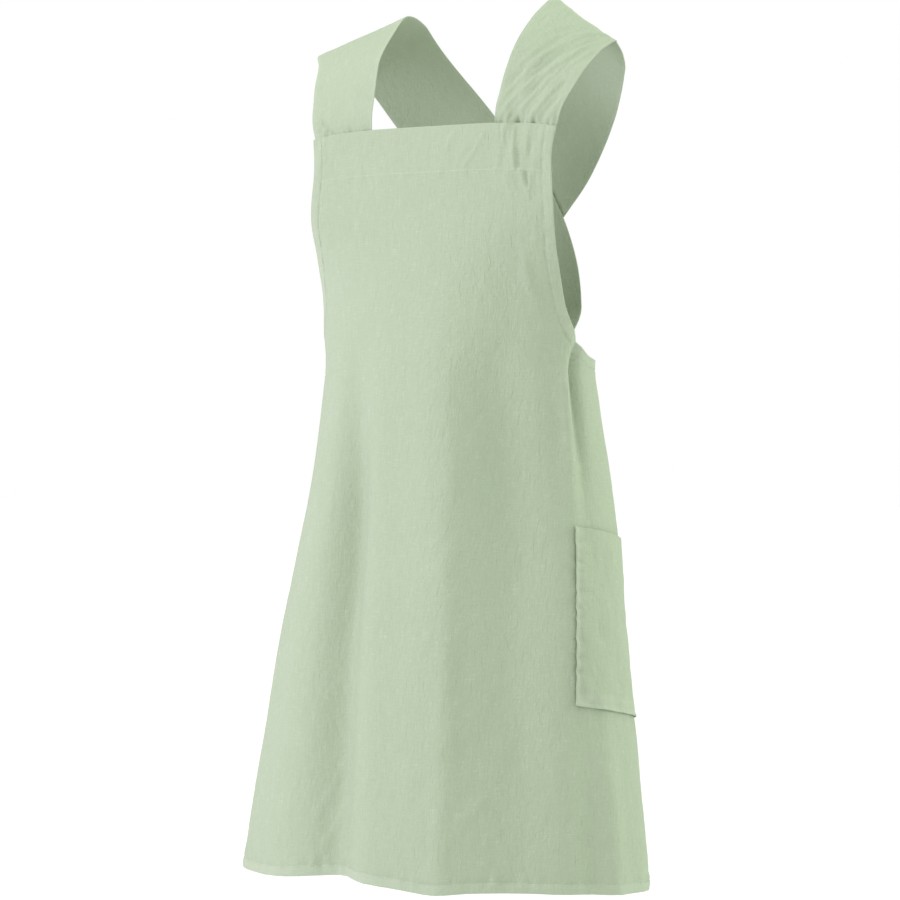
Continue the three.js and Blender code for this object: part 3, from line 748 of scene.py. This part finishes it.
# %% Wrinkles of the straps
LEFT_STRAP_CREASES = [  # up from the bib's top and across at both ends, height, width, millimetres
    (4, -34, 46, -22, 1.2, 2.8), (2, -24, 30, -12, -1, 2.6), (6, -14, 60, 10, 1.3, 3),
    (3, -4, 34, 12, -1, 2.6), (8, 6, 58, 30, 1.3, 2.9), (2, 16, 40, 36, -1, 2.8),
    (5, 26, 34, 40, 1.1, 2.6), (40, -36, 96, -8, 1.2, 3.2), (52, -18, 104, 14, -1, 3.1),
    (60, 0, 112, 34, 1.3, 3.3), (84, -34, 132, -4, 1, 3.4), (92, -12, 140, 26, 1.2, 3.3),
    (98, 14, 136, 44, -0.9, 3.2), (122, -30, 160, 10, 1, 3.6), (128, 6, 158, 46, 1.2, 3.4),
    (70, 24, 100, 44, 0.9, 3), (20, -30, 66, -4, 0.9, 2.6), (26, 2, 76, 24, -0.9, 2.6),
    (44, -8, 84, 12, 0.9, 2.6), (76, -24, 118, 4, 0.9, 2.8), (104, -22, 146, 14, -0.8, 3),
]
RIGHT_STRAP_CREASES = [
    (24, 36, 8, 22, 1.9, 3), (8, 22, -4, 38, 1.6, 2.8), (16, 26, 4, 12, -1.2, 2.6),
    (3, -30, 22, -27, 0.4, 2.8), (3, -8, 24, -4, 0.4, 2.8), (30, 30, 70, 38, 0.3, 4.5),
    (50, -20, 110, 6, 0.4, 5), (84, 4, 130, 36, 0.4, 5),
]
SLANT = np.array([[0.87, -0.5, 0], [0.5, 0.87, 0], [0, 0, 1]])  # a turn of 30 degrees
PLEAT_PITCH, PLEAT_DRIFT, GATHER_REACH = 8.5 * MM, 37 * MM, 14 * MM
strap_steps = np.linspace(0, len(STATIONS) - 1, 600)
strap_line = strap_surface(1, strap_steps, 0 * strap_steps)
strap_lengths = lengths_along(strap_line, 0)
base_length = np.interp(1.0, strap_steps, strap_lengths)
print("strap length:", round(float(strap_lengths[-1]), 3), "m")


def strap_relief(side, step, across):
    """Gathers at the bib, a wave of the place across that fades a few centimetres up, wrinkles
    listed one by one, and a light crumple, in the strap's own flat lengths along and across."""
    up = np.interp(step, strap_steps, strap_lengths) - base_length
    wide = across * width_at(step) * STRAP_WIDTH / 2
    flat = np.stack([up, wide, 0 * up], -1)
    rows = np.array(LEFT_STRAP_CREASES if side > 0 else RIGHT_STRAP_CREASES) * MM
    total = straight_creases(flat[..., :2], rows[:, :2], rows[:, 2:4], rows[:, 4], rows[:, 5])
    phase = 2 * np.pi * wide / PLEAT_PITCH + 1.4 * np.sin(2 * np.pi * wide / PLEAT_DRIFT)
    strength, slanting = (0.95, 0.2) if side > 0 else (0.35, 0.06)
    gathered = 0.6 * np.cos(phase) + 0.8 * waves(flat, 0.0095, 24, 67, stretch=(3.2, 1, 1))
    total += strength * MM * gathered * bell(up, GATHER_REACH)
    loose = ease(up, -0.01, 0.03) * (1 - 0.8 * ease(step, 4.8, 6))
    crumpled = 0.3 * waves(flat, 0.045, 20, 61 + side, stretch=(1.6, 1, 1))
    crumpled += 0.4 * crease_net(flat, 0.05, 71 + side, sharp=0.24)
    crumpled += slanting * waves(flat @ SLANT, 0.014, 26, 77, stretch=(3.4, 1, 1))
    return total + MM * crumpled * (0.15 + 0.85 * loose)


def strap_grid(side, step, across):
    """Points of a strap and its outward normals, with the wrinkles along the plain strap's own
    normals."""
    def normals(surface, small_step, small_across):
        width = surface(step, across + small_across) - surface(step, across - small_across)
        length = surface(step + small_step, across) - surface(step - small_step, across)
        return side * unit(np.cross(width, length))

    plain = lambda s, a: strap_surface(side, s, a)
    plain_normal = normals(plain, 0.02, 0.02)
    wrinkled = lambda s, a: plain(s, a) + plain_normal * strap_relief(side, s, a)[..., None]
    return wrinkled(step, across), normals(wrinkled, 0.012, 0.015)


def make_strap(side, name):
    """A strap on a grid that is even in length. Its rows run from its end in the wing down to the
    bib, and its columns towards the wearer's left."""
    lengths = with_support(300, strap_lengths[-1]) * strap_lengths[-1]
    step = np.interp(lengths, strap_lengths, strap_steps)[::-1]
    across = (2 * with_support(52, 0.1) - 1)[::side]
    step, across = np.meshgrid(step, across, indexing="ij")
    # the strap's edges painted paler, in the same mask of use and painted highlight as the hems
    worn = 0.3 * ease(np.abs(across), 0.9, 0.96).ravel()
    return grid_wall(name, *strap_grid(side, step, across), wall=STRAP_WALL, worn=worn)


straps = {"left": make_strap(1, "band_left"), "right": make_strap(-1, "band_right")}

# %% [markdown]
# ## Pocket
# The patch pocket lies on the outside at the wearer's left. Its turned edges are sewn down a few
# millimetres in, so the very edge lifts a little, which shows as a thin dark line. Its mouth stands
# slightly open.

# %% Pocket
POCKET_TILT, POCKET_BOW = 8 * DEGREE, 4 * MM
POCKET_WALL = 1.3 * MM
POCKET_HEM = 30 * MM
SEWN_IN = 4.5 * MM
BELLY_PEAK = 0.567  # the largest value of the belly's formula before it is divided by this


def pocket_pattern(down, across):
    """Angles and heights of the pocket: from the slanting front edge, walked backward by the share
    across of its width, and dipping by the tangent of its tilt and a shallow bow, which is the sine
    of half a turn across."""
    z = BIB_TOP - POCKET_DROP - POCKET_HEIGHT * down
    start = mix(*POCKET_ANGLES, down)
    angle = walk(start, z, POCKET_WIDTH * across)
    dip = POCKET_WIDTH * across * np.tan(POCKET_TILT) + POCKET_BOW * np.sin(np.pi * across) * across
    return angle, z - dip


def pocket_lift(down, across):
    """How far outside the sheet the pocket's middle lies: a seat, an open mouth that closes down
    and towards the back, a lip that lifts outside the stitches and puckers along them."""
    sideways, from_back = across * POCKET_WIDTH, (1 - across) * POCKET_WIDTH
    upward = (1 - down) * POCKET_HEIGHT
    belly = np.sin(np.pi * across) * (1 - across) / BELLY_PEAK
    lift = LAYER + 0.2 * MM + 1.2 * MM * belly * (1 - down ** 2)
    lip, low_lip, back_lip = (1 - ease(d, 0, SEWN_IN) for d in (sideways, upward, from_back))
    lift += 2.2 * MM * lip + 1.1 * MM * np.maximum(low_lip, back_lip)
    flat = np.stack([sideways, upward, 0 * upward], -1)
    level_puckers = waves(flat, 0.013, 18, 81, stretch=(3, 1, 1))
    upright_puckers = waves(flat, 0.012, 18, 83, stretch=(1, 4, 1))
    lift += seam(sideways - SEWN_IN, 0.5 * MM, 8 * MM, 0.4 * MM * level_puckers)
    lift += seam(upward - SEWN_IN, 0.5 * MM, 13 * MM, 0.45 * MM * upright_puckers)
    lift += seam(from_back - SEWN_IN, 0.4 * MM, 8 * MM, 0.2 * MM * level_puckers)
    lift += seam(down * POCKET_HEIGHT - POCKET_HEM, 0.25 * MM, 8 * MM, 0.12 * MM * upright_puckers)
    crumpled = 0.3 * waves(flat, 0.03, 18, 85) + 0.14 * waves(flat, 0.012, 18, 87, stretch=(1, 2, 1))
    return lift + MM * crumpled * ease(sideways, 0, 0.02)


down, across = np.meshgrid(
    with_support(82, POCKET_HEIGHT), with_support(78, POCKET_WIDTH), indexing="ij",
)
pocket_angle, pocket_z = pocket_pattern(down, across)
# the pocket painted paler near its low edge and its front edge, in the same mask of use and painted
# highlight as the hems
pocket_low = 1 - ease((1 - down) * POCKET_HEIGHT, 13 * MM, 19 * MM)
pocket_front = 1 - ease(across * POCKET_WIDTH, SEWN_IN, 2 * SEWN_IN)
pocket = sheet_grid(
    "patch_pocket", pocket_angle, pocket_z, -pocket_lift(down, across), wall=POCKET_WALL,
    worn=np.maximum(0.3 * pocket_low, 0.25 * pocket_front).ravel(),
)

# %% [markdown]
# ## Stitches
# Thread shows on every hem. A stitch is a small four-sided tube with tapered ends, lying half sunk
# in the cloth. The rows are laid out on the same surfaces as the cloth: places along a line, evenly
# spaced, with the surface's own normal.

# %% Stitch rows
STITCH_SPACING, STITCH_LENGTH, STITCH_RADIUS = 3.0 * MM, 2.5 * MM, 0.32 * MM
STITCH_RINGS = (-1, 0.35), (-0.6, 1), (0.6, 1), (1, 0.35)  # place along and radius, as shares
STITCH_IN = 1.4 * MM


def even_places(line):
    """Shares along a line of points that are one stitch apart, in whole numbers of stitches."""
    lengths = lengths_along(line, 0)
    count = max(int(lengths[-1] / STITCH_SPACING), 2)
    return np.interp((np.arange(count) + 0.5) / count * lengths[-1], lengths, np.arange(len(line)))


def stitches(line, normal):
    """The points of all stitches of a row, which is a line of points and their normals. A stitch is
    four rings of four points round the row's direction, narrow at both ends."""
    at = even_places(line)
    order = np.arange(len(line))
    pick = lambda a, t: np.stack([np.interp(t, order, a[:, k]) for k in range(3)], -1)
    centre, up = pick(line, at), unit(pick(normal, at))
    ahead, back = np.minimum(at + 0.5, len(line) - 1), np.maximum(at - 0.5, 0)
    along = unit(pick(line, ahead) - pick(line, back))
    side = unit(np.cross(up, along))
    points = []
    for place, radius in STITCH_RINGS:
        for turn in np.arange(4) * np.pi / 2:
            across = (side * np.cos(turn) + up * np.sin(turn)) * radius * STITCH_RADIUS
            points.append(centre + along * place * STITCH_LENGTH / 2 + across)
    return np.stack(points, 1).reshape(-1, 3)


def make_stitches(name, rows):
    """One object for the stitches of several rows."""
    vertices = np.concatenate([stitches(*row) for row in rows])
    one = [(0, 3, 2, 1), (12, 13, 14, 15)]
    for ring in range(3):
        for k in range(4):
            a, b = ring * 4 + k, ring * 4 + (k + 1) % 4
            one.append((a, b, b + 4, a + 4))
    size = 4 * len(STITCH_RINGS)
    starts = np.arange(len(vertices) // size)[:, None, None] * size
    print(name, len(starts), "stitches")
    return make_object(name, vertices, (np.array(one) + starts).reshape(-1, 4), vertices[:, [0, 2]])


def on_sheet(angle, z, lift):
    """A row's points and normals, lift outside the middle of the sheet or, if negative, inside it."""
    point, normal = cloth(angle, z)
    lift = np.broadcast_to(lift, z.shape)[:, None]
    return point + normal * lift, normal * np.sign(lift)


OUTSIDE, INSIDE = WALL / 2, -LAYER - WALL / 2
facing_turn = np.linspace(-0.97, 0.97, 200) * edge_angle_at(FACING_DEPTH)
facing_row = facing_turn, facing_line(facing_turn)
bottom_turn = np.linspace(-0.985, 0.985, 500) * BACK_ANGLE_HEM
bottom_row = bottom_turn, hem_height(bottom_turn) + HEM_WIDTH - STITCH_IN
INNER = np.array([1 - STITCH_IN / HEM_WIDTH])
thread_rows = {"facing": [facing_row], "low_hem": [bottom_row], "arm_hems": [], "back_hems": []}
for sign in (1, -1):
    strip_angle, strip_z = edge_strip(np.linspace(5 * MM, EDGE_END - 2 * MM, 400), INNER, sign)
    thread_rows["arm_hems"].append((strip_angle[0], strip_z[0]))
    z = np.linspace(CORNER_Z - 2 * MM, BACK_HEM_Z + 2 * MM, 400)
    angle = walk(back_edge_angle(z), z, -(HEM_WIDTH - STITCH_IN))
    thread_rows["back_hems"].append((sign * angle, z))
threads = {
    name: make_stitches(
        "thread_" + name, [on_sheet(*row, lift) for row in rows for lift in (OUTSIDE, INSIDE)],
    )
    for name, rows in thread_rows.items()
}


def pocket_row(down, across):
    """A row of stitches on the pocket's outer face."""
    return on_sheet(*pocket_pattern(down, across), pocket_lift(down, across) + POCKET_WALL / 2)


run = np.linspace(0.02, 1, 120)
inset_across, inset_down = SEWN_IN / POCKET_WIDTH, SEWN_IN / POCKET_HEIGHT
down_run = run * (1 - inset_down)
across_run = mix(inset_across, 1 - inset_across, np.linspace(0, 1, 120))
threads["pocket"] = make_stitches("thread_pocket", [
    pocket_row(down_run, inset_across + 0 * run),
    pocket_row(1 - inset_down + 0 * run, across_run),
    pocket_row(down_run, 1 - inset_across + 0 * run),
    pocket_row(POCKET_HEM / POCKET_HEIGHT + 0 * run, across_run),
])

# %% [markdown]
# ## Linen
# Plain weave in two directions, threads that swell into slubs, soft blotches from the dye and a fine
# crumple that is too small for the mesh. The pattern runs on the UV lengths, so that the threads
# follow each piece, and all heights meet in one bump in millimetres.


# %% Material tools
def add_node(tree, kind, values=None, **settings):
    """A new node with its properties set and its inputs given by name or number: a link where the
    value is a socket, and a plain value otherwise."""
    node = tree.nodes.new(kind)
    for key, value in settings.items():
        setattr(node, key, value)
    for key, value in (values or {}).items():
        if isinstance(value, bpy.types.NodeSocket):
            tree.links.new(value, node.inputs[key])
        else:
            node.inputs[key].default_value = value
    return node


def set_inputs(node, values):
    """Gives inputs of a node their plain values, by name."""
    for key, value in values.items():
        node.inputs[key].default_value = value


def new_material(name, roughness):
    """A material with a matt Principled shader and its node tree."""
    made = bpy.data.materials.new(name)
    made.use_nodes = True
    shader = made.node_tree.nodes["Principled BSDF"]
    set_inputs(shader, {
        "Roughness": roughness, "Specular IOR Level": 0.06, "Sheen Weight": 0.02,
        "Sheen Roughness": 0.5,
    })
    return made, made.node_tree, shader


def math(tree, operation, *values):
    """The result of one sum on sockets or numbers."""
    return add_node(
        tree, "ShaderNodeMath", dict(enumerate(values)), operation=operation,
    ).outputs[0]


def noise(tree, vector, scale, detail=2.0, roughness=0.5):
    """A random field of 0 to 1 on a vector."""
    values = {"Vector": vector, "Scale": scale, "Detail": detail, "Roughness": roughness}
    return add_node(tree, "ShaderNodeTexNoise", values).outputs[0]


def eased(tree, value, start, end, low, high):
    """Goes smoothly from low at start to high at end."""
    values = {0: value, 1: start, 2: end, 3: low, 4: high}
    return add_node(
        tree, "ShaderNodeMapRange", values, interpolation_type="SMOOTHSTEP",
    ).outputs[0]


def blend(tree, share, a, b):
    """The colour that lies a share of the way from a to b."""
    return add_node(
        tree, "ShaderNodeMix", {0: share, 6: a, 7: b}, data_type="RGBA",
    ).outputs[2]


def finish_shader(tree, shader, colour, height, strength, distance):
    """Joins a colour to the shader and, through a bump, a height."""
    tree.links.new(colour, shader.inputs["Base Color"])
    values = {"Strength": strength, "Distance": distance, "Height": height}
    bump = add_node(tree, "ShaderNodeBump", values)
    tree.links.new(bump.outputs[0], shader.inputs["Normal"])


# %% The linen
THREAD_PITCH = 0.62 * MM
LINEN, LINEN_DARK = (0.354, 0.427, 0.298, 1), (0.316, 0.388, 0.262, 1)
LINEN_LIGHT, THREAD_COLOUR = (0.44, 0.509, 0.387, 1), (0.42, 0.49, 0.365, 1)


def linen_material(name):
    """Colour: two greens mixed by slubs and blotches, paler where a thread is thick and along stitches
    and hems, from use and painted highlight. Height: weave, slubs, crumple and creases, added up in
    millimetres."""
    made, tree, shader = new_material(name, 0.9)
    coordinates = add_node(tree, "ShaderNodeTexCoord")
    uv, place = coordinates.outputs["UV"], coordinates.outputs["Object"]

    def streaks(across, along):
        spread = add_node(tree, "ShaderNodeMapping", {"Vector": uv, "Scale": (across, along, 1)})
        return noise(tree, spread.outputs[0], 1.0, 3.0, 0.6)

    def threads_of(direction):
        return add_node(
            tree, "ShaderNodeTexWave",
            {
                "Vector": uv, "Scale": 2 * np.pi / (20 * THREAD_PITCH), "Distortion": 1.6,
                "Detail": 1.0, "Detail Scale": 0.35,
            },
            wave_type="BANDS", bands_direction=direction,
        ).outputs[1]

    warp, weft, blotch = streaks(760, 40), streaks(70, 700), noise(tree, place, 11.0, 3.0)
    upright = add_node(tree, "ShaderNodeMapping", {"Vector": place, "Scale": (1, 1, 0.45)}).outputs[0]
    crumpled = noise(tree, upright, 150.0, 3.0, 0.6)

    def crinkles(scale, thin):
        away = math(tree, "SUBTRACT", noise(tree, upright, scale), 0.5)
        return eased(tree, math(tree, "ABSOLUTE", away), 0.0, thin, 1.0, 0.0)

    sideways = add_node(tree, "ShaderNodeSeparateXYZ", {0: place}).outputs[0]
    amount = eased(tree, sideways, -0.02, 0.08, 0.35, 1.0)
    creases = math(tree, "MULTIPLY_ADD", crinkles(150.0, 0.07), 0.6, crinkles(75.0, 0.05))
    creases = math(tree, "MULTIPLY", math(tree, "MULTIPLY", creases, blotch), amount)
    weave = math(tree, "ADD", threads_of("X"), threads_of("Y"))
    slubs = math(tree, "ADD", warp, weft)
    tone = math(tree, "MULTIPLY_ADD", slubs, 0.9, math(tree, "MULTIPLY_ADD", blotch, 0.7, -0.75))
    pale = math(tree, "MULTIPLY", math(tree, "SUBTRACT", slubs, 1.12), 3.0)
    pale = add_node(tree, "ShaderNodeClamp", {0: pale, 1: 0.0, 2: 0.35}).outputs[0]
    worn = add_node(tree, "ShaderNodeAttribute", attribute_name="worn").outputs["Fac"]
    colour = blend(tree, tone, LINEN_DARK, LINEN)
    colour = blend(tree, pale, colour, LINEN_LIGHT)
    # the attribute lightens the colour: paler from use and a painted highlight along stitches and hems
    colour = blend(tree, math(tree, "MULTIPLY", worn, 0.6), colour, LINEN_LIGHT)
    rough = math(tree, "MULTIPLY_ADD", slubs, -0.1, 1.0)
    tree.links.new(rough, shader.inputs["Roughness"])
    height = math(tree, "MULTIPLY", weave, 0.05)
    for field, millimetres in ((slubs, 0.14), (crumpled, 1.1), (creases, 0.38)):
        height = math(tree, "MULTIPLY_ADD", field, millimetres, height)
    finish_shader(tree, shader, colour, height, 1.0, MM)
    return made


def thread_material(name):
    """The sewing thread: the linen's lighter green, with a fine twist in its bump."""
    made, tree, shader = new_material(name, 0.7)
    place = add_node(tree, "ShaderNodeTexCoord").outputs["Object"]
    twist = noise(tree, place, 2600.0)
    colour = blend(tree, twist, LINEN_LIGHT, THREAD_COLOUR)
    finish_shader(tree, shader, colour, twist, 0.5, 0.1 * MM)
    return made


linen, thread = linen_material("linen"), thread_material("linen_thread")
print("materials:", linen.name, thread.name)

# %% [markdown]
# ## Which piece stands for which solid
# Every piece of cloth replaces its own solid, takes the linen slot and rides on the one body there
# is. A sheet's area is measured here from its own cells, as half the surface of its closed wall.


# %% Finish, ride and print areas
def surface_area(piece):
    """Half the area of a closed wall."""
    faces = piece.data.polygons
    areas = np.empty(len(faces))
    faces.foreach_get("area", areas)
    return areas.sum() / 2


def dress(piece, material, *nodes):
    """Gives a piece its material, its body and the solids that it stands for."""
    piece.data.materials.append(material)
    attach(piece, "root")
    if nodes:
        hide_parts(*nodes)


sheets = {"apron_body": body, "bib_facing": facing, "pocket": pocket}
sheets.update({"strap_" + side: strap for side, strap in straps.items()}, **hem_pieces)
for node, piece in sheets.items():
    dress(piece, linen, node)
    print(piece.name, "area", round(surface_area(piece), 4), "m2")
for piece in threads.values():
    dress(piece, thread)

# %% [markdown]
# ## Studio
# The apron hangs over a plain pale floor in bright white surroundings. A soft light at the front
# and the wearer's right gives the cloth its form, one behind lights the far side and one above the
# straps. The camera looks level at the middle of the apron, from 30 degrees to the wearer's left,
# through a long lens.

# %% Floor and light
FLOOR, FLOOR_SIZE = -1.75, 60.0
WHITE = (1, 1, 1, 1)
floor_mesh = bpy.data.meshes.new("floor")
corners = [(x * FLOOR_SIZE, y * FLOOR_SIZE, FLOOR) for x, y in ((-1, -1), (1, -1), (1, 1), (-1, 1))]
floor_mesh.from_pydata(corners, [], [(0, 1, 2, 3)])
floor = add_object("floor", floor_mesh)
floor_material, _, floor_shader = new_material("pale_floor", 1.0)
set_inputs(floor_shader, {
    "Base Color": (0.93, 0.93, 0.93, 1), "Emission Color": WHITE, "Emission Strength": 0.15,
})
floor_mesh.materials.append(floor_material)
world = bpy.data.worlds.new("studio")
bpy.context.scene.world = world
world.use_nodes = True
set_inputs(world.node_tree.nodes["Background"], {"Color": WHITE, "Strength": 1.0})


def soft_light(name, place, target, size, power, colour=(1, 1, 1)):
    """A square light at a place, turned towards a target."""
    light = bpy.data.lights.new(name, "AREA")
    light.size, light.energy, light.color = size, power, colour
    made = add_object(name, light)
    made.location = place
    x, y, z = np.array(target) - np.array(place)
    made.rotation_euler = (np.arctan2(np.hypot(x, y), -z), 0, np.arctan2(-x, y))


soft_light("key", (-1.35, -1.5, -0.1), (0, 0, -0.5), 1.0, 30, (0.87, 0.75, 1))
soft_light("back", (3.1, 2.4, 0.5), (0, 0, -0.5), 2.4, 66)
soft_light("top", (0.4, -0.3, 2.0), (0.1, 0, 0), 1.0, 25)
bpy.context.scene.view_settings.view_transform = "Standard"

# %% Camera
CAMERA_PLACE, CAMERA_TURN = (1.9, -3.291, -0.505), 30 * DEGREE
SENSOR, LENS, SHIFT = 36, 126.7, -28 / 900
camera_data = bpy.data.cameras.new("camera")
camera_data.sensor_width, camera_data.lens, camera_data.shift_x = SENSOR, LENS, SHIFT
camera = add_object("camera", camera_data)
camera.location = CAMERA_PLACE
camera.rotation_euler = (90 * DEGREE, 0, CAMERA_TURN)
bpy.context.scene.camera = camera
print("camera at", tuple(round(v, 3) for v in camera.location))
